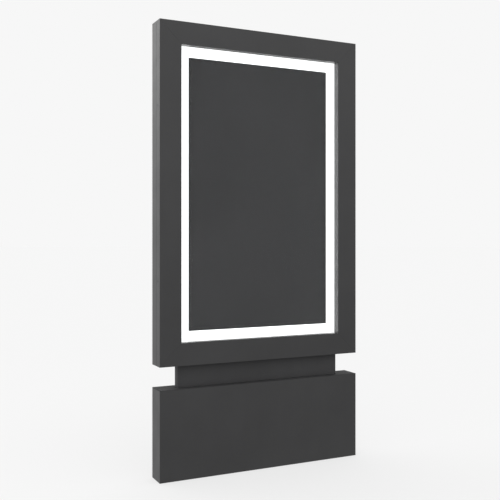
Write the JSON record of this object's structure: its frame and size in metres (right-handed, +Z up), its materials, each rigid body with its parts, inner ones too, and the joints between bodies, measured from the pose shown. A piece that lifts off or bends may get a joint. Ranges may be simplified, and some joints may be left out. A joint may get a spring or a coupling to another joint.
{
  "type": "illuminated advertising totem",
  "caption": "Free-standing back-lit poster sign: slab cabinet with a hinged glazed door, recessed neck and plinth with a rear service hatch.",
  "frame": {"origin": "on the floor, under the middle of the sign's width and depth", "axes": "+Z up, -Y towards the viewer of the lit face, +X to that viewer's right"},
  "size_m": [1.35, 0.135, 2.7],
  "materials": {
    "powder_coat": "dark grey fine-texture powder coat, satin",
    "galvanised_steel": "hot-dip galvanised, dull spangle",
    "white_sheet": "matt white reflector coating",
    "aluminium": "mill-finish extrusion, satin",
    "zinc_plate": "zinc-plated steel, satin",
    "black_zinc": "black zinc-plated steel, satin",
    "glass": "clear toughened safety glass",
    "opal_acrylic": "opal white sheet lit from behind",
    "black_graphic": "dark unlit display panel, glossy",
    "rubber": "black EPDM foam",
    "grey_plastic": "light grey moulded plastic",
    "black_plastic": "black moulded plastic"
  },
  "bodies": {
    "stand": {"floor_plate": "galvanised_steel", "post_left": "galvanised_steel", "post_right": "galvanised_steel", "saddle_plate": "galvanised_steel", "base_cross_rail": "galvanised_steel", "plinth_shell": "powder_coat", "plinth_top_plate": "powder_coat", "plinth_back_panel": "powder_coat", "neck_cladding_front": "powder_coat", "neck_cladding_back": "powder_coat", "equipment_plate": "galvanised_steel", "led_driver_lower": "aluminium", "led_driver_upper": "aluminium", "breaker_body": "grey_plastic", "terminal_block": "grey_plastic", "cable_gland": "black_plastic", "wiring_conduit": "black_plastic", "led_lead": "black_plastic", "driver_lead": "black_plastic", "hatch_hinge_fixed_leaf": "zinc_plate", "hatch_hinge_pin": "zinc_plate", "cabinet_right": "powder_coat", "cabinet_left": "powder_coat", "cabinet_bottom": "powder_coat", "cabinet_top": "powder_coat", "back_panel": "powder_coat", "led_tray": "white_sheet", "led_bar_1": "aluminium", "led_bar_2": "aluminium", "led_bar_3": "aluminium", "led_bar_4": "aluminium", "diffuser_frame": "aluminium", "diffuser_panel": "opal_acrylic", "graphic_panel": "black_graphic", "lock_keeper_lower": "zinc_plate", "lock_keeper_upper": "zinc_plate", "hinge_pin_half_lower": "zinc_plate", "hinge_pin_half_middle": "zinc_plate", "hinge_pin_half_upper": "zinc_plate"},
    "door": {"door_bar_left": "powder_coat", "door_bar_right": "powder_coat", "door_bar_top": "powder_coat", "door_bar_bottom": "powder_coat", "glass_pane": "glass", "glazing_bead_left": "aluminium", "glazing_bead_right": "aluminium", "glazing_bead_top": "aluminium", "glazing_bead_bottom": "aluminium", "door_gasket": "rubber", "hinge_door_half_lower": "zinc_plate", "hinge_door_half_middle": "zinc_plate", "hinge_door_half_upper": "zinc_plate"},
    "lock_upper": {"lock_barrel_upper": "black_zinc", "lock_cam_upper": "zinc_plate"},
    "lock_lower": {"lock_barrel_lower": "black_zinc", "lock_cam_lower": "zinc_plate"},
    "hatch": {"hatch_panel": "powder_coat", "hatch_hinge_hatch_leaf": "zinc_plate"},
    "hatch_lock": {"hatch_lock": "zinc_plate"},
    "breaker_toggle": {"breaker_toggle": "black_plastic"}
  },
  "joints": [
    {"name": "door_hinge", "type": "hinge", "parent": "stand", "child": "door", "pos_m": [0.668, -0.006, 0.675], "axis": [0, 0, 1], "range_deg": [0, 100]},
    {"name": "lock_upper_turn", "type": "hinge", "parent": "door", "child": "lock_upper", "pos_m": [-0.66, -0.0375, 2.2], "axis": [1, 0, 0], "range_deg": [0, 90]},
    {"name": "lock_lower_turn", "type": "hinge", "parent": "door", "child": "lock_lower", "pos_m": [-0.66, -0.0375, 1.175], "axis": [1, 0, 0], "range_deg": [0, 90]},
    {"name": "hatch_hinge", "type": "hinge", "parent": "stand", "child": "hatch", "pos_m": [-0.253, 0.0623, 0.28], "axis": [0, 0, 1], "range_deg": [0, 100]},
    {"name": "hatch_lock_turn", "type": "hinge", "parent": "hatch", "child": "hatch_lock", "pos_m": [0.225, 0.055, 0.28], "axis": [0, -1, 0], "range_deg": [0, 90]},
    {"name": "breaker_switch", "type": "hinge", "parent": "stand", "child": "breaker_toggle", "pos_m": [0.098, 0.041, 0.267], "axis": [1, 0, 0], "range_deg": [0, 44]}
  ]
}
